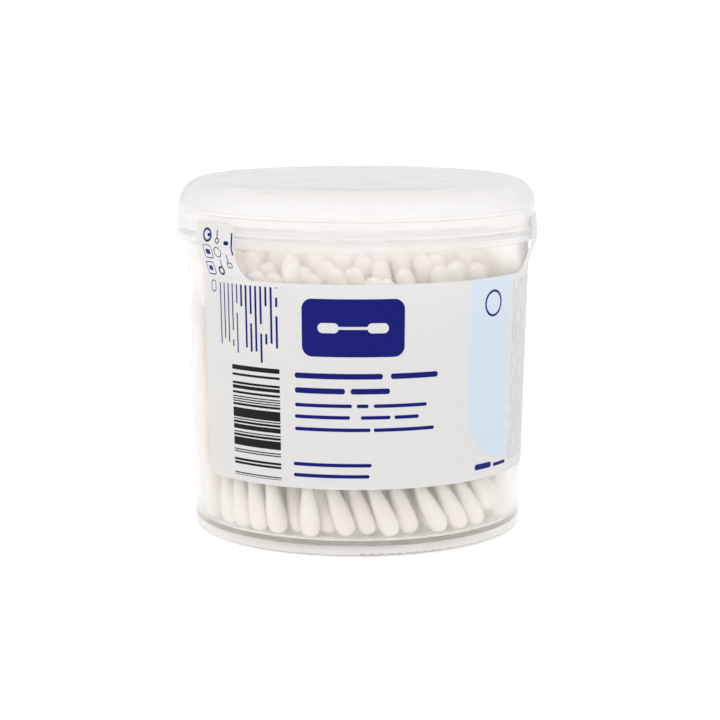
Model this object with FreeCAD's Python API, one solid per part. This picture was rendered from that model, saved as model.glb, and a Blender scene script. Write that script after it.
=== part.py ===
import FreeCAD, Part
import math
import os
import random

# A round tub of cotton swabs. The tub, its push-on lid and a wrapped label stand on the XY plane, +Z up.
# The origin is the centre of the tub's foot. Azimuths are in degrees from the front, -Y, towards +X.
# All sizes are in millimetres.

# Tub
tub_height = 83.2
tub_base_radius = 42.8
tub_draft_angle = 1.584
wall = 1.0
floor_thickness = 1.2
foot_height = 2.4
foot_width = 1.7
foot_round = 0.9
floor_corner_round = 1.6
rim_round = 0.3

# Share of a wall's thickness that a bead or a rib reaches into it, so that the two are one solid
root_share = 0.5

# Snap bead round the tub's neck
bead_below_rim = 2.9
bead_proud = 0.35
bead_half_height = 0.9

# Lid
skirt_clearance = 1.1
lid_wall = 1.0
lid_rise = 7.9
skirt_drop = 7.2
skirt_flare = 0.0745
shoulder_round = 6.8
lid_bead_below_rim = 4.9
lid_bead_half_height = 0.8
bead_clearance = 0.08
stop_rib_height = 0.9
stop_rib_lap = 0.8

# Label film with a seal tab at each end
film = 0.15
film_clearance = 0.02
label_low = 17.1
label_high = 68.1
label_left = -59.0
label_right = 90.5
label_corner_round = 3.0
tab_width = 14.8
tab_lap = 6.0
tab_corner_round = 2.0
tab_root_round = 4.5
tab_stand_off = 0.8
seal_parting = 0.1

# Swabs
swab_count = 160
bundle_count = 20
swab_length = 70.0
stick_diameter = 2.3
stick_sides = 4
bud_diameter = 5.0
bud_length = 15.0
bud_tip_diameter = 3.0
bud_crown = 3.6
bud_neck_diameter = 2.9
bud_sides = 6
swab_clearance = 0.3
wall_clearance = 0.25
standing_clearance = 0.02
packing_limit = 0.70

# How the swabs lie: a row against the wall and a sunflower pattern inside it, the swirl that leans
# the front right ones, the few that are caught above the floor, and how they settle
seed = 3
wall_row_share = 0.27
row_jitter = 0.6
sunflower_turn = 137.508
swirl_turn = 66.0
swirl_rise = (-56.0, 46.0)
swirl_fall = (64.0, 178.0)
resting_turn = 6.0
lean_spread = 3.0
most_lean = 36.0
raised_share = 0.5
most_raised = 4.0
settling_steps = 260
last_steps = 60
holding_gap = 0.45
steps_between_searches = 8
search_reach = 1.9
settling_levels = (0.03, 0.1, 0.2, 0.5, 0.8, 0.87, 0.93, 0.98)
tiny = 1e-6

origin = FreeCAD.Vector(0, 0, 0)
up = FreeCAD.Vector(0, 0, 1)

tub_draft = math.tan(math.radians(tub_draft_angle))
floor_top = foot_height + floor_thickness
lid_edge = tub_height - skirt_drop
lid_top = tub_height + lid_rise
lid_radius = tub_base_radius + tub_draft * lid_edge + skirt_clearance + lid_wall
past_everything = 2 * lid_radius


def tub_radius(z):
    """Outer radius of the tub's wall at a height."""
    return tub_base_radius + tub_draft * z


def lid_skirt_radius(z):
    """Outer radius of the lid's skirt at a height."""
    return lid_radius - skirt_flare * (z - lid_edge)


def rounded_wire(corners):
    """Closed wire in the XZ plane through (r, z, round) corners, with a tangent arc at each rounded one."""
    pieces = []
    starts = []
    ends = []
    count = len(corners)
    for k in range(count):
        here = FreeCAD.Vector(corners[k][0], 0, corners[k][1])
        before = FreeCAD.Vector(corners[k - 1][0], 0, corners[k - 1][1])
        after = FreeCAD.Vector(corners[(k + 1) % count][0], 0, corners[(k + 1) % count][1])
        to_before = (before - here).normalize()
        to_after = (after - here).normalize()
        radius = corners[k][2]
        if radius <= 0:
            starts.append(here)
            ends.append(here)
            pieces.append(None)
            continue
        half = to_before.getAngle(to_after) / 2
        cut = radius / math.tan(half)
        first = here + to_before * cut
        last = here + to_after * cut
        middle_way = (to_before + to_after).normalize()
        middle = here + middle_way * (radius / math.sin(half) - radius)
        starts.append(first)
        ends.append(last)
        pieces.append(Part.Arc(first, middle, last).toShape())
    edges = []
    for k in range(count):
        if pieces[k] is not None:
            edges.append(pieces[k])
        following = (k + 1) % count
        if (starts[following] - ends[k]).Length > tiny:
            edges.append(Part.LineSegment(ends[k], starts[following]).toShape())
    return Part.Wire(edges)


def turned(corners, begin=None, sweep=360.0):
    """Solid turned about Z from a profile, a full turn or a sector that begins at an azimuth."""
    face = Part.Face(rounded_wire(corners))
    if begin is not None:
        face.rotate(origin, up, begin - 90.0)
    return face.revolve(origin, up, sweep)


def make_tub():
    """One moulding: tapered wall, raised floor on a foot ring, rounded rim and a snap bead on the neck."""
    foot_inside = tub_base_radius - foot_width
    body = turned([
        (tub_radius(0), 0, foot_round),
        (tub_radius(tub_height), tub_height, rim_round),
        (tub_radius(tub_height) - wall, tub_height, rim_round),
        (tub_radius(floor_top) - wall, floor_top, floor_corner_round),
        (0, floor_top, 0),
        (0, foot_height, 0),
        (foot_inside, foot_height, 0),
        (foot_inside, 0, 0),
    ])
    bead_z = tub_height - bead_below_rim
    bead_low = bead_z - bead_half_height
    bead_high = bead_z + bead_half_height
    bead = turned([
        (tub_radius(bead_z) - root_share * wall, bead_low, 0),
        (tub_radius(bead_low), bead_low, 0),
        (tub_radius(bead_z) + bead_proud, bead_z, 0),
        (tub_radius(bead_high), bead_high, 0),
        (tub_radius(bead_z) - root_share * wall, bead_high, 0),
    ])
    return body.fuse(bead).removeSplitter()


def make_lid():
    """One moulding: flat top, round shoulder, flared skirt, a bead that snaps under the tub's and a stop rib."""
    under = lid_top - lid_wall
    shell = turned([
        (lid_skirt_radius(lid_edge), lid_edge, 0),
        (lid_skirt_radius(lid_top), lid_top, shoulder_round),
        (0, lid_top, 0),
        (0, under, 0),
        (lid_skirt_radius(under) - lid_wall, under, shoulder_round - lid_wall),
        (lid_skirt_radius(lid_edge) - lid_wall, lid_edge, 0),
    ])
    rib_inside = tub_radius(tub_height) - stop_rib_lap
    rib_top = tub_height + stop_rib_height
    rib = turned([
        (rib_inside, tub_height, 0),
        (lid_skirt_radius(tub_height) - root_share * lid_wall, tub_height, 0),
        (lid_skirt_radius(rib_top) - root_share * lid_wall, rib_top, 0),
        (rib_inside, rib_top, 0),
    ])
    bead_z = tub_height - lid_bead_below_rim
    bead_low = bead_z - lid_bead_half_height
    bead_high = bead_z + lid_bead_half_height
    bead_inside = tub_radius(tub_height - bead_below_rim) + bead_proud + bead_clearance
    in_skirt = lid_skirt_radius(bead_z) - root_share * lid_wall
    bead = turned([
        (bead_inside, bead_z, 0),
        (lid_skirt_radius(bead_z) - lid_wall, bead_low, 0),
        (in_skirt, bead_low, 0),
        (in_skirt, bead_high, 0),
        (lid_skirt_radius(bead_z) - lid_wall, bead_high, 0),
    ])
    return shell.fuse([rib, bead]).removeSplitter()


def film_section(points):
    """Profile of the film from the (r, z) points of its inner face, thickened outwards."""
    inner = [(r, z, 0) for r, z in points]
    outer = [(r + film, z, 0) for r, z in reversed(points)]
    return inner + outer


def wall_film(z):
    """Radius of the film's inner face where it lies on the tub's wall."""
    return tub_radius(z) + film_clearance


def turn_of(width):
    """Degrees round the label's upper edge that a width on the film takes."""
    return math.degrees(width / tub_radius(label_high))


def bridge_points(z_high):
    """Inner face of a tab from the label's upper edge: up the wall a little, then straight out to the skirt."""
    leaves = label_high + tab_stand_off
    arrives = lid_edge - 0.5 * seal_parting
    share = (z_high - leaves) / (arrives - leaves)
    edge_radius = lid_skirt_radius(lid_edge) + film_clearance
    r_high = wall_film(leaves) + share * (edge_radius - wall_film(leaves))
    return [(wall_film(label_low), label_low), (wall_film(leaves), leaves), (r_high, z_high)]


def radial_tool(azimuth, z, shape):
    """Place a shape made about +X at an azimuth and a height, so that it points outwards."""
    tool = shape.copy()
    tool.rotate(origin, up, azimuth - 90.0)
    tool.translate(FreeCAD.Vector(0, 0, z))
    return tool


def corner_tool(azimuth, z, radius, side, rise):
    """What a rounded film corner loses: a radial square less a radial round. side and rise point inwards."""
    disc = Part.makeCylinder(radius, past_everything, FreeCAD.Vector(0, side * radius, rise * radius),
                             FreeCAD.Vector(1, 0, 0))
    square = Part.makeBox(past_everything, radius, radius,
                          FreeCAD.Vector(0, min(0, side * radius), min(0, rise * radius)))
    return radial_tool(azimuth, z, square.cut(disc))


def make_label():
    """The label sheet with its two tabs, up to the lid's lower edge where the seals part."""
    sheet = turned(film_section([(wall_film(label_low), label_low), (wall_film(label_high), label_high)]),
                   label_left, label_right - label_left)
    tab = film_section(bridge_points(lid_edge - 0.5 * seal_parting))
    left_root = label_left + turn_of(tab_width)
    right_root = label_right - turn_of(tab_width)
    parts = [
        turned(tab, label_left, turn_of(tab_width)),
        turned(tab, right_root, turn_of(tab_width)),
    ]
    root_turn = turn_of(tab_root_round)
    root = film_section(bridge_points(label_high + tab_root_round))
    bore = Part.makeCylinder(tab_root_round, past_everything, origin, FreeCAD.Vector(1, 0, 0))
    for begin, centre in ((left_root, left_root + root_turn), (right_root - root_turn, right_root - root_turn)):
        web = turned(root, begin, root_turn)
        parts.append(web.cut(radial_tool(centre, label_high + tab_root_round, bore)))
    label = sheet.fuse(parts).removeSplitter()
    for azimuth, side in ((label_left, 1), (label_right, -1)):
        label = label.cut(corner_tool(azimuth, label_low, label_corner_round, side, 1))
    return label


def make_seal_tab(begin):
    """The end of a label tab that lies on the lid's skirt, with rounded upper corners."""
    low = lid_edge + 0.5 * seal_parting
    high = lid_edge + tab_lap
    points = [(lid_skirt_radius(z) + film_clearance, z) for z in (low, high)]
    tab = turned(film_section(points), begin, turn_of(tab_width))
    for azimuth, side in ((begin, 1), (begin + turn_of(tab_width), -1)):
        tab = tab.cut(corner_tool(azimuth, high, tab_corner_round, side, -1))
    return tab


def smooth_step(value, low, high):
    """0 below low, 1 above high and a smooth rise between."""
    t = min(1.0, max(0.0, (value - low) / (high - low)))
    return t * t * (3 - 2 * t)


def swirl(azimuth):
    """Turn in degrees of a wall swab's foot against its head, by the azimuth of its foot."""
    rise = smooth_step(azimuth, *swirl_rise)
    fall = 1 - smooth_step(azimuth, *swirl_fall)
    return resting_turn + swirl_turn * rise * fall


def first_places(count, reach, draw):
    """Feet of the swabs before they settle, as (distance from the axis, azimuth)."""
    in_row = round(wall_row_share * count)
    inside = count - in_row
    inner_reach = reach - bud_diameter - swab_clearance
    places = []
    for k in range(in_row):
        places.append((reach, 360.0 * (k + row_jitter * draw.random()) / in_row - 180.0))
    for k in range(inside):
        places.append((inner_reach * math.sqrt((k + 0.5) / inside), (sunflower_turn * k) % 360.0 - 180.0))
    return places


class Swab:
    """One swab's axis, from its foot to its head. Heights are above the tub's floor."""

    def __init__(self, foot_x, foot_y, head_x, head_y, lift):
        self.foot_x, self.foot_y = foot_x, foot_y
        self.head_x, self.head_y = head_x, head_y
        self.lift = lift
        self.stand()

    def stand(self):
        """Hold the lean to its limit and work out how high the head stands over the foot."""
        run_x, run_y = self.head_x - self.foot_x, self.head_y - self.foot_y
        run = math.hypot(run_x, run_y)
        longest = swab_length * math.sin(math.radians(most_lean))
        if run > longest:
            spare = 0.5 * (1 - longest / run)
            self.foot_x += spare * run_x
            self.foot_y += spare * run_y
            self.head_x -= spare * run_x
            self.head_y -= spare * run_y
            run = longest
        self.rise = math.sqrt(swab_length ** 2 - run ** 2)
        self.find_lean()

    def find_lean(self):
        """Work out how far the axis runs sideways for each millimetre up."""
        self.lean_x = (self.head_x - self.foot_x) / self.rise
        self.lean_y = (self.head_y - self.foot_y) / self.rise

    def place(self, height):
        """Where the axis is at a height."""
        above = height - self.lift
        return self.foot_x + above * self.lean_x, self.foot_y + above * self.lean_y

    def room(self, height):
        """Half the width that the swab takes up at a height, with its share of the clearance."""
        from_end = min(height - self.lift, self.lift + self.rise - height)
        if from_end < -bud_tip_diameter:
            return 0.0
        if from_end < bud_length:
            return 0.5 * (bud_diameter + swab_clearance)
        return 0.5 * (bud_neck_diameter + swab_clearance)

    def radius(self, height):
        """The swab's own radius at a height, 0 beyond its ends."""
        from_end = min(height - self.lift, self.lift + self.rise - height)
        if from_end < 0:
            return 0.0
        if from_end < bud_crown:
            return 0.5 * (bud_tip_diameter + (bud_diameter - bud_tip_diameter) * from_end / bud_crown)
        if from_end < bud_length:
            share = (from_end - bud_crown) / (bud_length - bud_crown)
            return 0.5 * (bud_diameter + (bud_neck_diameter - bud_diameter) * share)
        return 0.5 * stick_diameter

    def crowns(self):
        """The heights at which the two buds are widest."""
        return self.lift + bud_crown, self.lift + self.rise - bud_crown

    def move(self, height, x, y):
        """Shift the axis at a height, and foot and head by their shares of it."""
        u = min(1.0, max(0.0, (height - self.lift) / self.rise))
        v = 1 - u
        share = 1 / (u * u + v * v)
        self.foot_x += share * v * x
        self.foot_y += share * v * y
        self.head_x += share * u * x
        self.head_y += share * u * y
        self.find_lean()

    def keep_inside(self, height):
        """Bring the axis back from the tub's wall at a height."""
        x, y = self.place(height)
        out = math.hypot(x, y)
        most = tub_radius(floor_top + height) - wall - wall_clearance - 0.5 * (bud_diameter + swab_clearance)
        if out > most:
            self.move(height, -x * (out - most) / out, -y * (out - most) / out)


def lying_swabs(count, foot_reach, head_reach, draw):
    """The swabs before they settle: each head is turned back by the swirl, less towards the centre."""
    swabs = []
    for radius, azimuth in first_places(count, foot_reach, draw):
        head_radius = radius * head_reach / foot_reach
        foot_angle = math.radians(azimuth)
        head_angle = math.radians(azimuth - swirl(azimuth) * (radius / foot_reach) ** 2)
        lift = most_raised * draw.random() if draw.random() < raised_share else 0.0
        swabs.append(Swab(radius * math.sin(foot_angle), -radius * math.cos(foot_angle),
                          head_radius * math.sin(head_angle) + draw.gauss(0, lean_spread),
                          -head_radius * math.cos(head_angle) + draw.gauss(0, lean_spread), lift))
    return swabs


def nearest_height(one, other):
    """The height at which the axes of two swabs come nearest to each other, and how near."""
    x1, y1 = one.place(0)
    x2, y2 = other.place(0)
    fast_x, fast_y = one.lean_x - other.lean_x, one.lean_y - other.lean_y
    height = -((x1 - x2) * fast_x + (y1 - y2) * fast_y) / (fast_x * fast_x + fast_y * fast_y + tiny)
    height = min(max(height, 0.0), min(one.lift + one.rise, other.lift + other.rise))
    return height, math.hypot(x1 - x2 + height * fast_x, y1 - y2 + height * fast_y)


def near_pairs(swabs):
    """Pairs of swabs that come near each other anywhere between foot and head."""
    pairs = []
    for i, one in enumerate(swabs):
        for other in swabs[i + 1:]:
            if nearest_height(one, other)[1] < search_reach * bud_diameter:
                pairs.append((one, other))
    return pairs


def push_apart(one, other, height):
    """Move two swabs apart where their sections at a height come too near."""
    room = one.room(height) + other.room(height)
    x1, y1 = one.place(height)
    x2, y2 = other.place(height)
    dx, dy = x1 - x2, y1 - y2
    lean_x = 0.5 * (one.lean_x + other.lean_x)
    lean_y = 0.5 * (one.lean_y + other.lean_y)
    along = (dx * lean_x + dy * lean_y) ** 2 / (1 + lean_x * lean_x + lean_y * lean_y)
    apart = math.sqrt(max(dx * dx + dy * dy - along, tiny))
    if apart < room:
        step = 0.5 * (room - apart) / apart
        one.move(height, step * dx, step * dy)
        other.move(height, -step * dx, -step * dy)


def held(swab, swabs):
    """True if another swab comes near enough to hold this one at some height."""
    for other in swabs:
        closest, apart = nearest_height(swab, other)
        if other is swab or apart > search_reach * bud_diameter:
            continue
        for height in (closest, *swab.crowns(), *other.crowns()):
            x1, y1 = swab.place(height)
            x2, y2 = other.place(height)
            if math.hypot(x1 - x2, y1 - y2) < swab.radius(height) + other.radius(height) + holding_gap:
                return True
    return False


def drop_loose(swabs):
    """Let each raised swab that nothing holds slide down its own axis to the floor."""
    for swab in swabs:
        if swab.lift > 0 and not held(swab, swabs):
            slide_x, slide_y = swab.lift * swab.lean_x, swab.lift * swab.lean_y
            swab.foot_x -= slide_x
            swab.foot_y -= slide_y
            swab.head_x -= slide_x
            swab.head_y -= slide_y
            swab.lift = 0.0


def settle(swabs, steps):
    """Move feet and heads apart, and off the wall, until no two swabs press on each other at any height."""
    pairs = []
    for step in range(steps):
        if step % steps_between_searches == 0:
            pairs = near_pairs(swabs)
        for one, other in pairs:
            push_apart(one, other, nearest_height(one, other)[0])
            for share in settling_levels:
                push_apart(one, other, share * swab_length)
        for swab in swabs:
            swab.keep_inside(swab.lift)
            swab.keep_inside(swab.lift + swab.rise)
            swab.stand()


def ring_of(centre, across, aside, radius, sides):
    """Corners of the swab's section round its axis."""
    turns = [2 * math.pi * k / sides for k in range(sides)]
    return [centre + across * (radius * math.cos(t)) + aside * (radius * math.sin(t)) for t in turns]


def faceted(base, axis, stations, sides):
    """Solid with flat sides through polygons at (distance, radius) stations along an axis."""
    across = axis.cross(FreeCAD.Vector(1, 3, 0)).normalize()
    aside = axis.cross(across).normalize()
    rings = [ring_of(base + axis * along, across, aside, radius, sides) for along, radius in stations]
    outlines = [rings[0], rings[-1]]
    for low, high in zip(rings, rings[1:]):
        for k in range(sides):
            after = (k + 1) % sides
            outlines.append([low[k], low[after], high[after], high[k]])
    shell = Part.makeShell([Part.Face(Part.makePolygon(points + points[:1])) for points in outlines])
    shell.sewShape()
    solid = Part.makeSolid(shell)
    if solid.Volume < 0:
        solid.reverse()
    return solid


def make_swab(swab):
    """The stick and the two wound buds of one swab."""
    axis = FreeCAD.Vector(swab.lean_x, swab.lean_y, 1).normalize()
    tip = 0.5 * bud_tip_diameter
    full = 0.5 * bud_diameter
    thin = 0.5 * stick_diameter
    tilt = math.sin(axis.getAngle(up))
    lowest = min(-tilt * tip, bud_crown * axis.z - tilt * full)
    base = FreeCAD.Vector(swab.foot_x, swab.foot_y, floor_top + standing_clearance + swab.lift - lowest)
    bud = [(0, tip), (bud_crown, full), (bud_length, 0.5 * bud_neck_diameter)]
    low_bud = faceted(base, axis, bud, bud_sides)
    high_bud = faceted(base + axis * swab_length, axis * -1, bud, bud_sides)
    stick = faceted(base, axis, [(bud_length, thin), (swab_length - bud_length, thin)], stick_sides)
    return stick, [low_bud, high_bud]


def fitting_count(reach):
    """How many swabs stand in the tub: the full count, or fewer where the room is less."""
    room = 0.5 * (bud_diameter + swab_clearance)
    most = int(packing_limit * ((reach + room) / room) ** 2)
    return min(swab_count, most)


def make_swabs():
    """All swabs as bundles: one group of sticks and one group of buds for each wedge of the tub."""
    draw = random.Random(seed)
    off_wall = wall + wall_clearance + 0.5 * (bud_diameter + swab_clearance)
    foot_reach = tub_radius(floor_top) - off_wall
    head_reach = tub_radius(floor_top + swab_length) - off_wall
    swabs = lying_swabs(fitting_count(foot_reach), foot_reach, head_reach, draw)
    for steps in (settling_steps, last_steps):
        settle(swabs, steps)
        drop_loose(swabs)
    swabs.sort(key=lambda swab: math.atan2(swab.foot_x, -swab.foot_y))
    bundles = []
    for number in range(bundle_count):
        first = round(number * len(swabs) / bundle_count)
        beyond = round((number + 1) * len(swabs) / bundle_count)
        pieces = [make_swab(swab) for swab in swabs[first:beyond]]
        bundles.append(([stick for stick, buds in pieces], [bud for stick, buds in pieces for bud in buds]))
    return bundles


def save(shape, name):
    """Write one piece, or one group of pieces, to its file."""
    shape.exportStep("parts/" + name + ".step")


os.makedirs("parts", exist_ok=True)
save(make_tub(), "tub")
save(make_lid(), "lid")
save(make_label(), "label")
save(make_seal_tab(label_left), "seal_tab_left")
save(make_seal_tab(label_right - turn_of(tab_width)), "seal_tab_right")
for number, (sticks, buds) in enumerate(make_swabs(), 1):
    save(Part.makeCompound(sticks), "swab_sticks_%02d" % number)
    save(Part.makeCompound(buds), "swab_buds_%02d" % number)
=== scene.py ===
"""A round tub of cotton swabs: finishes, print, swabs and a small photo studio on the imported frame."""
import logging
import math
import random
from dataclasses import dataclass, field
from enum import Enum
from typing import Any, Iterable, Sequence

import bmesh
import bpy
from mathutils import Matrix, Vector


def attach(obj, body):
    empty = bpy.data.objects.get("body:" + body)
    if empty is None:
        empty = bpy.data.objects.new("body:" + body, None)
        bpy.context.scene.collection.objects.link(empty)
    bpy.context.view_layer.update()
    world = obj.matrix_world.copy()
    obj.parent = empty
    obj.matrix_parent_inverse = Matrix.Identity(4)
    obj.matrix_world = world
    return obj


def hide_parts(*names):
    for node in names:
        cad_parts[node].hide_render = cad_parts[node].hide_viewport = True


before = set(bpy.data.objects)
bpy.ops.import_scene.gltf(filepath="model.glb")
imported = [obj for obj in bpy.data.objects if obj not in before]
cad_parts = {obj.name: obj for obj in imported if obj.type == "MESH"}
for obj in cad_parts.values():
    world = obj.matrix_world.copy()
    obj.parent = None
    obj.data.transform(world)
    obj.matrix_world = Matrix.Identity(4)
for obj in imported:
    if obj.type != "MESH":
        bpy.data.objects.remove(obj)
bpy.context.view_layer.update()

MM = 0.001
LOG = logging.getLogger("swab_tub")

Mask = bpy.types.NodeSocket


class Body(Enum):
    """The two bodies of the frame that pieces ride on."""

    TUB = "tub"
    LID = "lid"


def linear(hex_colour: str) -> tuple[float, float, float, float]:
    """Turn an sRGB hex colour into linear red, green, blue and a full alpha.

    Args:
        hex_colour: Six hexadecimal digits with a leading hash.

    Returns:
        The colour as a shader socket takes it.
    """
    parts = [int(hex_colour[k:k + 2], 16) / 255 for k in (1, 3, 5)]
    red, green, blue = [p / 12.92 if p <= 0.04045 else ((p + 0.055) / 1.055) ** 2.4 for p in parts]
    return red, green, blue, 1.0


def add_node(tree: bpy.types.NodeTree, kind: str, inputs: dict[Any, Any] | None = None,
             **settings: Any) -> bpy.types.Node:
    """Add a node to a tree with its settings and links.

    Args:
        tree: The node tree that takes the node.
        kind: The node's type name without the leading ShaderNode.
        inputs: Values or output sockets for the node's inputs, by name or number.
        **settings: Properties of the node, such as its operation.

    Returns:
        The new node.
    """
    node = tree.nodes.new("ShaderNode" + kind)
    for name, value in settings.items():
        setattr(node, name, value)
    for key, value in (inputs or {}).items():
        if isinstance(value, bpy.types.NodeSocket):
            tree.links.new(value, node.inputs[key])
        else:
            node.inputs[key].default_value = value
    return node


def new_material(name: str) -> tuple[bpy.types.Material, bpy.types.NodeTree, bpy.types.Node]:
    """Make an empty node material.

    Args:
        name: The finish's plain name.

    Returns:
        The material, its node tree and its output node.
    """
    material = bpy.data.materials.new(name)
    material.use_nodes = True
    tree = material.node_tree
    tree.nodes.clear()
    return material, tree, add_node(tree, "OutputMaterial")


@dataclass(frozen=True)
class MouldedPolypropylene:
    """Natural polypropylene, injection moulded: clear near what touches it, misty with depth, faintly wavy."""

    name: str
    veil: str
    veil_share: float
    roughness: float
    let_through: str = "#FFFEFD"
    waves_mm: float = 9.0
    wave_depth_mm: float = 0.004
    index: float = 1.49
    free_after: float = 3.5

    def build(self) -> bpy.types.Material:
        """Make the material. A ray that the thin walls have caught goes on straight, so no corner turns black."""
        material, tree, output = new_material(self.name)
        place = add_node(tree, "TexCoord").outputs["Object"]
        waves = add_node(tree, "TexNoise", {"Vector": place, "Scale": 1 / (self.waves_mm * MM), "Detail": 2.0})
        rough = add_node(tree, "MapRange", {"Value": waves.outputs["Fac"], "From Min": 0.3, "From Max": 0.7,
                                            "To Min": 0.93 * self.roughness, "To Max": 1.07 * self.roughness})
        bump = add_node(tree, "Bump", {"Height": waves.outputs["Fac"], "Strength": 0.35,
                                       "Distance": self.wave_depth_mm * MM})
        shader = add_node(tree, "BsdfPrincipled", {
            "Base Color": linear("#FFFFFF"), "Roughness": rough.outputs["Result"], "IOR": self.index,
            "Transmission Weight": 1.0, "Normal": bump.outputs["Normal"]})
        veil = add_node(tree, "BsdfDiffuse", {"Color": linear(self.veil)})
        milky = add_node(tree, "MixShader", {"Fac": self.veil_share, 1: shader.outputs[0], 2: veil.outputs[0]})
        passing = add_node(tree, "BsdfTransparent", {"Color": linear(self.let_through)})
        path = add_node(tree, "LightPath").outputs
        caught = add_node(tree, "Math", {0: path["Ray Depth"], 1: self.free_after}, operation="GREATER_THAN")
        freed = add_node(tree, "MixShader", {"Fac": caught.outputs[0], 1: milky.outputs[0], 2: passing.outputs[0]})
        whole = add_node(tree, "MixShader", {"Fac": path["Is Shadow Ray"], 1: freed.outputs[0], 2: passing.outputs[0]})
        tree.links.new(whole.outputs[0], output.inputs["Surface"])
        return material


@dataclass(frozen=True)
class WoundCotton:
    """Cotton wound on a stick and pressed: matt warm white with a soft edge and a fine fibre grain."""

    name: str = "wound_cotton"
    light: str = "#FFFDFB"
    shade: str = "#FDF4E9"
    lump_mm: float = 2.4
    fibre_mm: float = 0.45
    fibre_depth_mm: float = 0.07

    def build(self) -> bpy.types.Material:
        """Make the material."""
        material, tree, output = new_material(self.name)
        place = add_node(tree, "TexCoord").outputs["Object"]
        lumps = add_node(tree, "TexNoise", {"Vector": place, "Scale": 1 / (self.lump_mm * MM), "Detail": 2.0})
        fibres = add_node(tree, "TexNoise", {"Vector": place, "Scale": 1 / (self.fibre_mm * MM), "Detail": 4.0,
                                             "Distortion": 1.2})
        colour = add_node(tree, "Mix", {"Factor": lumps.outputs["Fac"]}, data_type="RGBA")
        colour.inputs[6].default_value = linear(self.shade)
        colour.inputs[7].default_value = linear(self.light)
        height = add_node(tree, "Math", {0: lumps.outputs["Fac"], 1: 1.6, 2: fibres.outputs["Fac"]},
                          operation="MULTIPLY_ADD")
        bump = add_node(tree, "Bump", {"Height": height.outputs["Value"], "Strength": 0.6,
                                       "Distance": self.fibre_depth_mm * MM})
        shader = add_node(tree, "BsdfPrincipled", {
            "Base Color": colour.outputs[2], "Roughness": 0.95, "Specular IOR Level": 0.2,
            "Sheen Weight": 0.35, "Sheen Roughness": 0.6, "Normal": bump.outputs["Normal"]})
        tree.links.new(shader.outputs["BSDF"], output.inputs["Surface"])
        return material


@dataclass(frozen=True)
class RolledPaper:
    """Bleached paper rolled to a stick: matt ivory with faint lengthwise creases."""

    name: str = "rolled_paper"
    light: str = "#F9EEE2"
    shade: str = "#F2E1CD"
    crease_mm: float = 0.6
    crease_stretch: float = 0.08
    crease_depth_mm: float = 0.04

    def build(self) -> bpy.types.Material:
        """Make the material."""
        material, tree, output = new_material(self.name)
        place = add_node(tree, "TexCoord").outputs["Object"]
        drawn = add_node(tree, "Mapping", {"Vector": place, "Scale": (1.0, 1.0, self.crease_stretch)})
        creases = add_node(tree, "TexNoise", {"Vector": drawn.outputs["Vector"],
                                              "Scale": 1 / (self.crease_mm * MM), "Detail": 3.0})
        colour = add_node(tree, "Mix", {"Factor": creases.outputs["Fac"]}, data_type="RGBA")
        colour.inputs[6].default_value = linear(self.shade)
        colour.inputs[7].default_value = linear(self.light)
        bump = add_node(tree, "Bump", {"Height": creases.outputs["Fac"], "Strength": 0.4,
                                       "Distance": self.crease_depth_mm * MM})
        shader = add_node(tree, "BsdfPrincipled", {
            "Base Color": colour.outputs[2], "Roughness": 0.8, "Specular IOR Level": 0.3,
            "Normal": bump.outputs["Normal"]})
        tree.links.new(shader.outputs["BSDF"], output.inputs["Surface"])
        return material


@dataclass(frozen=True)
class Plate:
    """A rectangle with round corners on the unrolled label, in millimetres: run round the tub, then height."""

    left: float
    right: float
    low: float
    high: float
    corner: float = 0.15

    @property
    def centre(self) -> Vector:
        """The middle of the plate."""
        return Vector(((self.left + self.right) / 2, (self.low + self.high) / 2, 0))

    @property
    def core(self) -> Vector:
        """Half the plate's size less its corner radius."""
        return Vector(((self.right - self.left) / 2 - self.corner, (self.high - self.low) / 2 - self.corner, 0))


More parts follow.
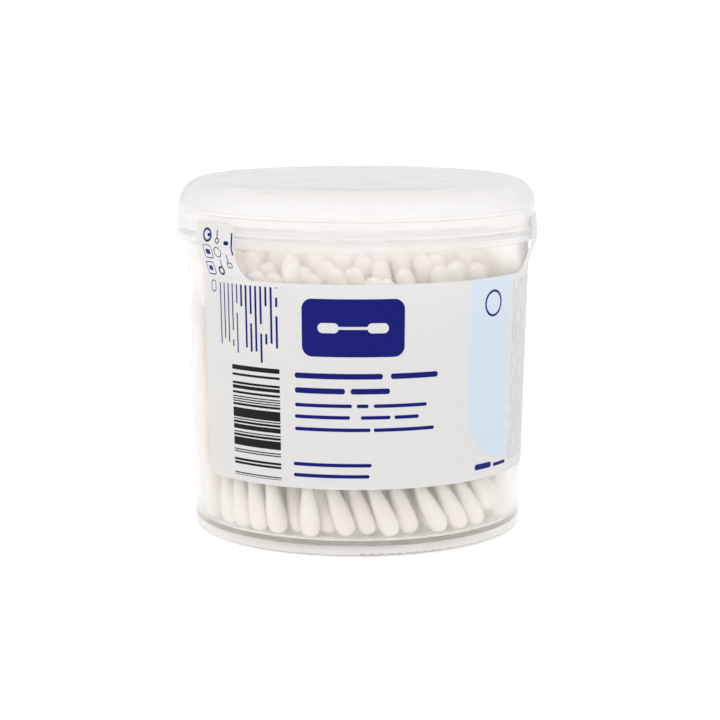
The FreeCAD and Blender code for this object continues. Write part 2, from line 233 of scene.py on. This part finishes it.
@dataclass(frozen=True)
class PrintLayout:
    """Where the plain printed fields lie on the unrolled label. Nothing here is lettering."""

    wrap_radius: float = 44.4
    panel: Plate = Plate(30.1, 80.0, 21.6, 110.0, 14.0)
    panel_right: float = 46.5
    badge: Plate = Plate(-13.6, 11.8, 50.3, 64.6, 2.6)
    badge_mark: tuple[Plate, ...] = (
        Plate(-6.6, 4.8, 57.1, 57.8, 0.3), Plate(-9.6, -4.4, 56.2, 58.7, 1.2), Plate(2.6, 7.8, 56.2, 58.7, 1.2))
    words: tuple[Plate, ...] = (
        Plate(-15.6, 6.4, 44.8, 46.2, 0.6), Plate(8.4, 20.7, 44.8, 46.2, 0.6),
        Plate(-15.6, -2.9, 41.1, 42.5, 0.6), Plate(-1.5, 8.2, 41.1, 42.5, 0.6),
        Plate(-15.6, -1.2, 37.7, 38.6, 0.4), Plate(0.0, 2.9, 37.7, 38.6, 0.4), Plate(4.2, 17.8, 37.7, 38.6, 0.4),
        Plate(-15.7, -1.7, 34.8, 35.7, 0.4), Plate(1.0, 8.4, 34.8, 35.7, 0.4), Plate(9.4, 15.7, 34.8, 35.7, 0.4),
        Plate(-15.7, 3.4, 31.7, 32.6, 0.4), Plate(4.2, 19.9, 31.7, 32.6, 0.4),
        Plate(-16.2, 3.7, 22.8, 23.7, 0.4), Plate(-16.2, 3.2, 20.0, 20.9, 0.4),
        Plate(33.2, 39.6, 19.5, 21.0, 0.6), Plate(40.6, 46.6, 19.5, 20.4, 0.4))
    bar_field: Plate = Plate(-34.6, -19.7, 18.6, 46.9, 0.05)
    bar_module: float = 0.3
    bar_share: float = 0.52
    column_top: float = 66.9
    column_cell: tuple[float, float] = (1.5, 2.3)
    column_share: float = 0.86
    columns: tuple[tuple[float, float, float], ...] = (
        (-38.25, 51.4, 0.4), (-36.75, 52.8, 0.4), (-35.25, 52.2, 0.4), (-33.75, 51.2, 0.4), (-32.25, 49.7, 0.4),
        (-30.75, 61.5, 0.6), (-29.25, 51.3, 0.6), (-27.75, 50.4, 0.6), (-26.25, 49.1, 0.6), (-24.75, 47.9, 0.6),
        (-23.25, 52.6, 0.6), (-21.75, 50.9, 0.6), (-20.25, 51.8, 0.6))
    side_field: Plate = Plate(47.6, 60.0, 20.0, 66.6, 0.05)
    side_cell: tuple[float, float] = (1.1, 2.3)
    side_share: float = 0.45
    rings: tuple[tuple[float, float, float, float], ...] = (
        (-40.5, 78.7, 1.5, 0.6), (-36.6, 77.5, 0.6, 0.3), (-36.9, 74.6, 1.2, 0.25), (-37.1, 69.9, 0.9, 0.5),
        (38.7, 61.6, 3.1, 0.6))
    frames: tuple[Plate, ...] = (
        Plate(-42.4, -39.0, 72.9, 76.1, 0.6), Plate(-43.0, -39.7, 68.7, 71.8, 0.6),
        Plate(-41.9, -40.1, 64.4, 67.1, 0.7), Plate(-34.3, -32.8, 70.9, 72.1, 0.2))
    frame_line: float = 0.25
    marks: tuple[Plate, ...] = (
        Plate(-41.6, -39.8, 73.8, 75.1, 0.4), Plate(-42.2, -40.5, 69.6, 70.9, 0.6), Plate(-40.4, -39.3, 78.3, 79.2, 0.4),
        Plate(-36.8, -36.45, 78.1, 80.2, 0.1), Plate(-36.7, -36.4, 70.8, 72.8, 0.1), Plate(-34.3, -32.6, 76.6, 77.6, 0.5),
        Plate(-34.0, -33.7, 72.1, 74.2, 0.1), Plate(-31.9, -31.4, 74.2, 79.8, 0.1))


@dataclass(frozen=True)
class PrintedFilm:
    """White polypropylene label film, cast and printed: satin, opaque, with ink that lies flat in it."""

    name: str = "printed_label_film"
    layout: PrintLayout = field(default_factory=PrintLayout)
    film: str = "#EBEAE9"
    ink: str = "#06107A"
    dark: str = "#17151A"
    pale_blue: str = "#DFEAF3"
    side_grey: str = "#D3D2DA"
    ripple_mm: float = 16.0
    ripple_depth_mm: float = 0.05
    index: float = 1.49
    let_through: float = 0.3

    def unrolled(self, tree: bpy.types.NodeTree) -> tuple[Mask, Mask, Mask]:
        """Unroll the film flat.

        Args:
            tree: The material's node tree.

        Returns:
            Sockets for the place on the film as a vector, its run round the tub and its height, in millimetres.
        """
        place = add_node(tree, "TexCoord").outputs["Object"]
        parts = add_node(tree, "SeparateXYZ", {0: place})
        forward = add_node(tree, "Math", {0: parts.outputs["Y"], 1: -1.0}, operation="MULTIPLY")
        azimuth = add_node(tree, "Math", {0: parts.outputs["X"], 1: forward.outputs[0]}, operation="ARCTAN2")
        run = add_node(tree, "Math", {0: azimuth.outputs[0], 1: self.layout.wrap_radius}, operation="MULTIPLY")
        height = add_node(tree, "Math", {0: parts.outputs["Z"], 1: 1 / MM}, operation="MULTIPLY")
        flat = add_node(tree, "CombineXYZ", {"X": run.outputs[0], "Y": height.outputs[0]})
        return flat.outputs[0], run.outputs[0], height.outputs[0]

    def outside(self, tree: bpy.types.NodeTree, flat: Mask, plate: Plate) -> Mask:
        """Distance of a place from a plate's core, for its filled shape or its outline.

        Args:
            tree: The material's node tree.
            flat: The place on the unrolled film.
            plate: The plate.

        Returns:
            A socket that is under the plate's corner radius inside the plate.
        """
        off = add_node(tree, "VectorMath", {0: flat, 1: plate.centre}, operation="SUBTRACT")
        folded = add_node(tree, "VectorMath", {0: off.outputs[0]}, operation="ABSOLUTE")
        beyond = add_node(tree, "VectorMath", {0: folded.outputs[0], 1: plate.core}, operation="SUBTRACT")
        held = add_node(tree, "VectorMath", {0: beyond.outputs[0], 1: (0.0, 0.0, 0.0)}, operation="MAXIMUM")
        return add_node(tree, "VectorMath", {0: held.outputs[0]}, operation="LENGTH").outputs["Value"]

    def filled(self, tree: bpy.types.NodeTree, flat: Mask, plate: Plate) -> Mask:
        """Mask that is 1 inside a plate."""
        distance = self.outside(tree, flat, plate)
        return add_node(tree, "Math", {0: distance, 1: plate.corner}, operation="LESS_THAN").outputs[0]

    def outlined(self, tree: bpy.types.NodeTree, flat: Mask, plate: Plate, line: float) -> Mask:
        """Mask that is 1 on a plate's outline.

        Args:
            tree: The material's node tree.
            flat: The place on the unrolled film.
            plate: The plate whose outline is drawn.
            line: The line's width in millimetres.

        Returns:
            The mask's socket.
        """
        distance = self.outside(tree, flat, plate)
        return add_node(tree, "Math", {0: distance, 1: plate.corner, 2: line / 2}, operation="COMPARE").outputs[0]

    def joined(self, tree: bpy.types.NodeTree, masks: Iterable[Mask]) -> Mask:
        """Mask that is 1 where any of the masks is."""
        whole, *others = masks
        for mask in others:
            whole = add_node(tree, "Math", {0: whole, 1: mask}, operation="MAXIMUM").outputs[0]
        return whole

    def cut_to(self, tree: bpy.types.NodeTree, masks: Iterable[Mask]) -> Mask:
        """Mask that is 1 where all of the masks are."""
        whole, *others = masks
        for mask in others:
            whole = add_node(tree, "Math", {0: whole, 1: mask}, operation="MULTIPLY").outputs[0]
        return whole

    def bars(self, tree: bpy.types.NodeTree, along: Mask, module: float, share: float, seed: float) -> Mask:
        """Mask of bars and gaps of a module's width or more, in no order that means anything.

        Args:
            tree: The material's node tree.
            along: The coordinate that the bars follow one another on.
            module: The narrowest bar in millimetres.
            share: How much of the length is barred.
            seed: A number that sets one pattern apart from another.

        Returns:
            The mask's socket.
        """
        steps = add_node(tree, "Math", {0: along, 1: 1 / module, 2: seed}, operation="MULTIPLY_ADD")
        whole = add_node(tree, "Math", {0: steps.outputs[0]}, operation="FLOOR")
        chance = add_node(tree, "TexWhiteNoise", {"W": whole.outputs[0]}, noise_dimensions="1D")
        return add_node(tree, "Math", {0: chance.outputs["Value"], 1: share}, operation="LESS_THAN").outputs[0]

    def cells(self, tree: bpy.types.NodeTree, flat: Mask, cell: tuple[float, float], share: float) -> Mask:
        """Mask of cells inked by chance, which breaks a row up.

        Args:
            tree: The material's node tree.
            flat: The place on the unrolled film.
            cell: Width and height of one cell in millimetres.
            share: How many of the cells are inked.

        Returns:
            The mask's socket.
        """
        steps = add_node(tree, "VectorMath", {0: flat, 1: (1 / cell[0], 1 / cell[1], 0.0)}, operation="MULTIPLY")
        whole = add_node(tree, "VectorMath", {0: steps.outputs[0]}, operation="FLOOR")
        chance = add_node(tree, "TexWhiteNoise", {"Vector": whole.outputs[0]}, noise_dimensions="2D")
        return add_node(tree, "Math", {0: chance.outputs["Value"], 1: share}, operation="LESS_THAN").outputs[0]

    def comb(self, tree: bpy.types.NodeTree, along: Mask, pitch: float, share: float) -> Mask:
        """Mask of even blocks at a pitch."""
        steps = add_node(tree, "Math", {0: along, 1: 1 / pitch}, operation="MULTIPLY")
        part = add_node(tree, "Math", {0: steps.outputs[0]}, operation="FRACT")
        return add_node(tree, "Math", {0: part.outputs[0], 1: share}, operation="LESS_THAN").outputs[0]

    def ink_mask(self, tree: bpy.types.NodeTree, flat: Mask) -> Mask:
        """Everything that is printed in the navy ink.

        Args:
            tree: The material's node tree.
            flat: The place on the unrolled film.

        Returns:
            The mask's socket.
        """
        plan = self.layout
        words = [self.filled(tree, flat, p) for p in plan.words]
        columns = self.cut_to(tree, (
            self.joined(tree, [self.filled(tree, flat, Plate(s - w / 2, s + w / 2, low, plan.column_top, 0.05))
                               for s, low, w in plan.columns]),
            self.cells(tree, flat, plan.column_cell, plan.column_share)))
        rings = [self.outlined(tree, flat, Plate(s - r, s + r, z - r, z + r, r), line) for s, z, r, line in plan.rings]
        frames = [self.outlined(tree, flat, p, plan.frame_line) for p in plan.frames]
        marks = [self.filled(tree, flat, p) for p in plan.marks]
        badge = self.filled(tree, flat, plan.badge)
        return self.joined(tree, [*words, columns, badge, *rings, *frames, *marks])

    def painted(self, tree: bpy.types.NodeTree, under: Mask | str, mask: Mask, colour: str) -> Mask:
        """Lay one colour over another where a mask is 1.

        Args:
            tree: The material's node tree.
            under: The socket or hex colour below.
            mask: Where the colour goes.
            colour: The hex colour on top.

        Returns:
            The mixed colour's socket.
        """
        mix = add_node(tree, "Mix", {"Factor": mask}, data_type="RGBA")
        if isinstance(under, str):
            mix.inputs[6].default_value = linear(under)
        else:
            tree.links.new(under, mix.inputs[6])
        mix.inputs[7].default_value = linear(colour)
        return mix.outputs[2]

    def build(self) -> bpy.types.Material:
        """Make the material."""
        plan = self.layout
        material, tree, output = new_material(self.name)
        flat, run, height = self.unrolled(tree)
        panel_end = add_node(tree, "Math", {0: run, 1: plan.panel_right}, operation="LESS_THAN")
        panel = self.cut_to(tree, (self.filled(tree, flat, plan.panel), panel_end.outputs[0]))
        side = self.cut_to(tree, (self.filled(tree, flat, plan.side_field),
                                  self.comb(tree, run, plan.side_cell[0], plan.side_share),
                                  self.cells(tree, flat, plan.side_cell, plan.column_share)))
        dark = self.cut_to(tree, (self.filled(tree, flat, plan.bar_field),
                                  self.bars(tree, height, plan.bar_module, plan.bar_share, 7.5)))
        ink = self.ink_mask(tree, flat)
        mark = self.joined(tree, [self.filled(tree, flat, p) for p in plan.badge_mark])
        colour = self.painted(tree, self.film, panel, self.pale_blue)
        colour = self.painted(tree, colour, side, self.side_grey)
        colour = self.painted(tree, colour, ink, self.ink)
        colour = self.painted(tree, colour, dark, self.dark)
        colour = self.painted(tree, colour, mark, self.film)
        place = add_node(tree, "TexCoord").outputs["Object"]
        ripple = add_node(tree, "TexNoise", {"Vector": place, "Scale": 1 / (self.ripple_mm * MM), "Detail": 2.0})
        bump = add_node(tree, "Bump", {"Height": ripple.outputs["Fac"], "Strength": 0.3,
                                       "Distance": self.ripple_depth_mm * MM})
        rough = add_node(tree, "MapRange", {"Value": ripple.outputs["Fac"], "To Min": 0.34, "To Max": 0.46})
        shader = add_node(tree, "BsdfPrincipled", {
            "Base Color": colour, "Roughness": rough.outputs["Result"], "IOR": self.index,
            "Specular IOR Level": 0.2, "Normal": bump.outputs["Normal"]})
        behind = add_node(tree, "BsdfTranslucent", {"Color": colour})
        whole = add_node(tree, "MixShader", {"Fac": self.let_through, 1: shader.outputs[0], 2: behind.outputs[0]})
        tree.links.new(whole.outputs[0], output.inputs["Surface"])
        return material


@dataclass(frozen=True)
class StudioWhite:
    """Matt white studio paper, lit a little from below so that it stays pale up to its edge."""

    name: str = "studio_white"
    colour: str = "#F6F6F6"
    glow: float = 0.25

    def build(self) -> bpy.types.Material:
        """Make the material."""
        material, tree, output = new_material(self.name)
        shader = add_node(tree, "BsdfPrincipled", {
            "Base Color": linear(self.colour), "Roughness": 0.9, "Specular IOR Level": 0.1,
            "Emission Color": linear("#FFFFFF"), "Emission Strength": self.glow})
        tree.links.new(shader.outputs["BSDF"], output.inputs["Surface"])
        return material


def dress(node_name: str, material: bpy.types.Material) -> None:
    """Give a node of the frame its finish.

    Args:
        node_name: The node's name in the frame.
        material: The finish.
    """
    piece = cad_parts[node_name]
    for slot in piece.material_slots:
        slot.material = material
    LOG.info("dressed %s in %s", node_name, material.name)


@dataclass
class Tub:
    """The tub with the label that is wrapped round it."""

    plastic: MouldedPolypropylene = MouldedPolypropylene("clear_tub_polypropylene", "#C6C5C3", 0.12, 0.17, index=1.35)
    film: PrintedFilm = field(default_factory=PrintedFilm)

    def build(self) -> bpy.types.Material:
        """Dress the tub and its label.

        Returns:
            The label film's material, for the seal tabs on the lid.
        """
        dress("tub", self.plastic.build())
        film = self.film.build()
        dress("label", film)
        return film


@dataclass
class Lid:
    """The push-on lid with the two seal tabs that the label leaves on its skirt."""

    plastic: MouldedPolypropylene = MouldedPolypropylene("misty_lid_polypropylene", "#E4E3E4", 0.17, 0.235)

    def build(self, film: bpy.types.Material) -> None:
        """Dress the lid and its seal tabs.

        Args:
            film: The label film's material.
        """
        dress("lid", self.plastic.build())
        for side in ("left", "right"):
            dress("seal_tab_" + side, film)


@dataclass
class SwabAxis:
    """The straight line through one swab's paper stick, between its two buds."""

    low: Vector
    high: Vector

    @property
    def direction(self) -> Vector:
        """Unit vector up the stick."""
        return (self.high - self.low).normalized()


@dataclass
class Swabs:
    """All swabs: round paper sticks and wound buds on the axes of the frame's own sticks."""

    stick_radius: float = 1.15
    bud_length: float = 15.0
    bud_lap: float = 0.4
    bud_sides: int = 12
    stick_sides: int = 10
    bud_profile: tuple[tuple[float, float], ...] = (
        (0.0, 0.0), (0.2, 1.15), (0.95, 2.0), (2.3, 2.44), (4.8, 2.5), (8.0, 2.22), (11.4, 1.62), (15.0, 1.2))
    squeeze: tuple[float, float] = (0.97, 1.0)
    seed: int = 5
    cotton: WoundCotton = WoundCotton()
    paper: RolledPaper = RolledPaper()

    def axes(self, sticks: bpy.types.Object) -> list[SwabAxis]:
        """Read the axes of a bundle from its loose stick solids.

        Args:
            sticks: The frame's node that holds the bundle's sticks.

        Returns:
            One axis for each stick, from its lower to its upper end.
        """
        work = bmesh.new()
        work.from_mesh(sticks.data)
        bmesh.ops.remove_doubles(work, verts=work.verts, dist=0.01 * MM)
        waiting = set(work.verts)
        found = []
        while waiting:
            group = {waiting.pop()}
            edge = set(group)
            while edge:
                edge = {e.other_vert(v) for v in edge for e in v.link_edges} - group
                group |= edge
            waiting -= group
            points = [v.co.copy() for v in group]
            middle = sum(points, Vector()) / len(points)
            far = max(points, key=lambda p: (p - middle).length) - middle
            ends = [sum(side, Vector()) / len(side) for side in (
                [p for p in points if (p - middle).dot(far) < 0],
                [p for p in points if (p - middle).dot(far) >= 0])]
            low, high = sorted(ends, key=lambda p: p.z)
            found.append(SwabAxis(low, high))
        work.free()
        return found

    def bud_form(self) -> bpy.types.Mesh:
        """Spin the wound bud's profile once, tip at the origin and body up Z."""
        work = bmesh.new()
        points = [work.verts.new((r * MM, 0, z * MM)) for z, r in self.bud_profile]
        for one, other in zip(points, points[1:]):
            work.edges.new((one, other))
        bmesh.ops.spin(work, geom=work.verts[:] + work.edges[:], cent=(0, 0, 0), axis=(0, 0, 1),
                       angle=2 * math.pi, steps=self.bud_sides, use_merge=True)
        return self.closed_form(work, "bud_form")

    def stick_form(self, length: float) -> bpy.types.Mesh:
        """Make the stick once, from the origin up Z.

        Args:
            length: The stick's length in metres.

        Returns:
            The stick's mesh.
        """
        work = bmesh.new()
        bmesh.ops.create_cone(work, cap_ends=True, segments=self.stick_sides, radius1=self.stick_radius * MM,
                              radius2=self.stick_radius * MM, depth=length,
                              matrix=Matrix.Translation((0, 0, length / 2)))
        return self.closed_form(work, "stick_form")

    def closed_form(self, work: bmesh.types.BMesh, name: str) -> bpy.types.Mesh:
        """Merge a form's doubles, close and smooth it and store it as a mesh.

        Args:
            work: The form, which is freed.
            name: The mesh's name.

        Returns:
            The mesh.
        """
        bmesh.ops.remove_doubles(work, verts=work.verts, dist=0.001 * MM)
        bmesh.ops.holes_fill(work, edges=work.edges)
        bmesh.ops.recalc_face_normals(work, faces=work.faces)
        for face in work.faces:
            face.smooth = len(face.verts) <= 4
        mesh = bpy.data.meshes.new(name)
        work.to_mesh(mesh)
        work.free()
        return mesh

    def placed(self, name: str, form: bpy.types.Mesh, places: Sequence[Matrix], node_name: str,
               material: bpy.types.Material) -> bpy.types.Object:
        """Copy a form to its places as one piece that stands for a node of the frame.

        Args:
            name: The new piece's name.
            form: The form's mesh.
            places: One matrix for each copy.
            node_name: The node that the piece replaces.
            material: The piece's finish.

        Returns:
            The new piece.
        """
        work = bmesh.new()
        for place in places:
            before = len(work.verts)
            work.from_mesh(form)
            work.verts.ensure_lookup_table()
            bmesh.ops.transform(work, matrix=place, verts=work.verts[before:])
        mesh = bpy.data.meshes.new(name)
        work.to_mesh(mesh)
        work.free()
        piece = bpy.data.objects.new(name, mesh)
        bpy.context.scene.collection.objects.link(piece)
        mesh.materials.append(material)
        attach(piece, Body.TUB.value)
        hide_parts(node_name)
        LOG.info("built %s: %d faces", name, len(mesh.polygons))
        return piece

    def stood(self, foot: Vector, direction: Vector, draw: random.Random) -> Matrix:
        """Place for a bud: tip at its foot, body along a direction, with a turn and a squeeze of its own.

        Args:
            foot: Where the bud's tip is.
            direction: From the tip up the stick.
            draw: The source of the bud's own turn and squeeze.

        Returns:
            The matrix.
        """
        turn = Matrix.Rotation(draw.uniform(0, 2 * math.pi), 4, "Z")
        across = draw.uniform(*self.squeeze)
        size = Matrix.Diagonal((across, draw.uniform(*self.squeeze), 1.0, 1.0))
        return Matrix.Translation(foot) @ direction.to_track_quat("Z", "Y").to_matrix().to_4x4() @ turn @ size

    def build(self) -> None:
        """Build every bundle of sticks and buds."""
        draw = random.Random(self.seed)
        cotton, paper = self.cotton.build(), self.paper.build()
        bud = self.bud_form()
        reach = self.bud_length * MM
        lap = self.bud_lap * MM
        bundles = sorted(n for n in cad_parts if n.startswith("swab_sticks_"))
        sample = self.axes(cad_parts[bundles[0]])[0]
        stick = self.stick_form((sample.high - sample.low).length + 2 * lap)
        for sticks_name in bundles:
            number = sticks_name.rsplit("_", 1)[1]
            buds, sticks = [], []
            for axis in self.axes(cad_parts[sticks_name]):
                up = axis.direction
                buds.append(self.stood(axis.low - up * reach, up, draw))
                buds.append(self.stood(axis.high + up * reach, -up, draw))
                sticks.append(Matrix.Translation(axis.low - up * lap) @ up.to_track_quat("Z", "Y").to_matrix().to_4x4())
            self.placed("paper_sticks_" + number, stick, sticks, sticks_name, paper)
            self.placed("cotton_buds_" + number, bud, buds, "swab_buds_" + number, cotton)


@dataclass(frozen=True)
class Softbox:
    """One large soft light, aimed at the tub."""

    name: str
    azimuth: float
    elevation: float
    distance: float
    width: float
    height: float
    radiance: float
    mirrored: bool = True

    def build(self, aim: Vector) -> None:
        """Hang the light and point it.

        Args:
            aim: The point that the light faces.
        """
        turn, tilt = math.radians(self.azimuth), math.radians(self.elevation)
        away = Vector((math.sin(turn) * math.cos(tilt), -math.cos(turn) * math.cos(tilt), math.sin(tilt)))
        light = bpy.data.lights.new(self.name, "AREA")
        light.shape = "RECTANGLE"
        light.size, light.size_y = self.width, self.height
        light.energy = self.radiance * math.pi * self.width * self.height
        lamp = bpy.data.objects.new(self.name, light)
        lamp.visible_glossy = lamp.visible_transmission = self.mirrored
        lamp.location = aim + away * self.distance
        lamp.rotation_euler = away.to_track_quat("Z", "Y").to_euler()
        bpy.context.scene.collection.objects.link(lamp)


@dataclass
class Studio:
    """Pale floor, white surroundings, soft lights and the camera at the photograph's angle."""

    camera_place: tuple[float, float, float] = (0.00078, -0.5574, 0.1325)
    camera_pitch: float = 9.17
    lens: float = 106.85
    sensor: float = 36.0
    aim: tuple[float, float, float] = (0.0, 0.0, 0.045)
    floor_reach: float = 3.0
    floor_sides: int = 96
    surround: float = 0.94
    softboxes: tuple[Softbox, ...] = (
        Softbox("left_softbox", -52.0, 34.0, 1.3, 1.0, 1.3, 0.17),
        Softbox("right_softbox", 56.0, 34.0, 1.3, 0.9, 1.3, 0.14),
        Softbox("front_fill", -8.0, 12.0, 1.5, 2.0, 1.4, 0.42, False),
        Softbox("left_fill", -108.0, 22.0, 1.4, 1.6, 1.6, 0.1, False),
        Softbox("right_fill", 112.0, 22.0, 1.4, 1.6, 1.6, 0.1, False),
        Softbox("top_fill", 180.0, 74.0, 1.3, 1.4, 1.4, 0.62, False))

    def build_camera(self) -> None:
        """Set the camera where the photograph was taken from."""
        data = bpy.data.cameras.new("camera")
        data.lens, data.sensor_width = self.lens, self.sensor
        camera = bpy.data.objects.new("camera", data)
        camera.location = self.camera_place
        camera.rotation_euler = (math.radians(90 - self.camera_pitch), 0, 0)
        bpy.context.scene.collection.objects.link(camera)
        bpy.context.scene.camera = camera

    def build_floor(self) -> None:
        """Lay the floor."""
        work = bmesh.new()
        bmesh.ops.create_circle(work, cap_ends=True, segments=self.floor_sides, radius=self.floor_reach)
        mesh = bpy.data.meshes.new("floor")
        work.to_mesh(mesh)
        work.free()
        floor = bpy.data.objects.new("floor", mesh)
        bpy.context.scene.collection.objects.link(floor)
        mesh.materials.append(StudioWhite().build())

    def build_surroundings(self) -> None:
        """Make the room: white behind the object, a soft grey that plastic and cotton are lit by."""
        world = bpy.data.worlds.new("surroundings")
        bpy.context.scene.world = world
        world.use_nodes = True
        tree = world.node_tree
        tree.nodes.clear()
        seen = add_node(tree, "LightPath").outputs["Is Camera Ray"]
        strength = add_node(tree, "MapRange", {"Value": seen, "To Min": self.surround, "To Max": 1.0})
        room = add_node(tree, "Background", {"Color": linear("#FFFFFF"), "Strength": strength.outputs["Result"]})
        output = add_node(tree, "OutputWorld")
        tree.links.new(room.outputs["Background"], output.inputs["Surface"])

    def build(self) -> None:
        """Build the whole studio."""
        self.build_camera()
        self.build_floor()
        self.build_surroundings()
        for softbox in self.softboxes:
            softbox.build(Vector(self.aim))
        bpy.context.scene.view_settings.view_transform = "Standard"


def main() -> None:
    """Build the sub-assemblies in order and report each."""
    logging.basicConfig(level=logging.INFO, format="%(name)s: %(message)s")
    Studio().build()
    film = Tub().build()
    Lid().build(film)
    Swabs().build()


if __name__ == "__main__":
    main()
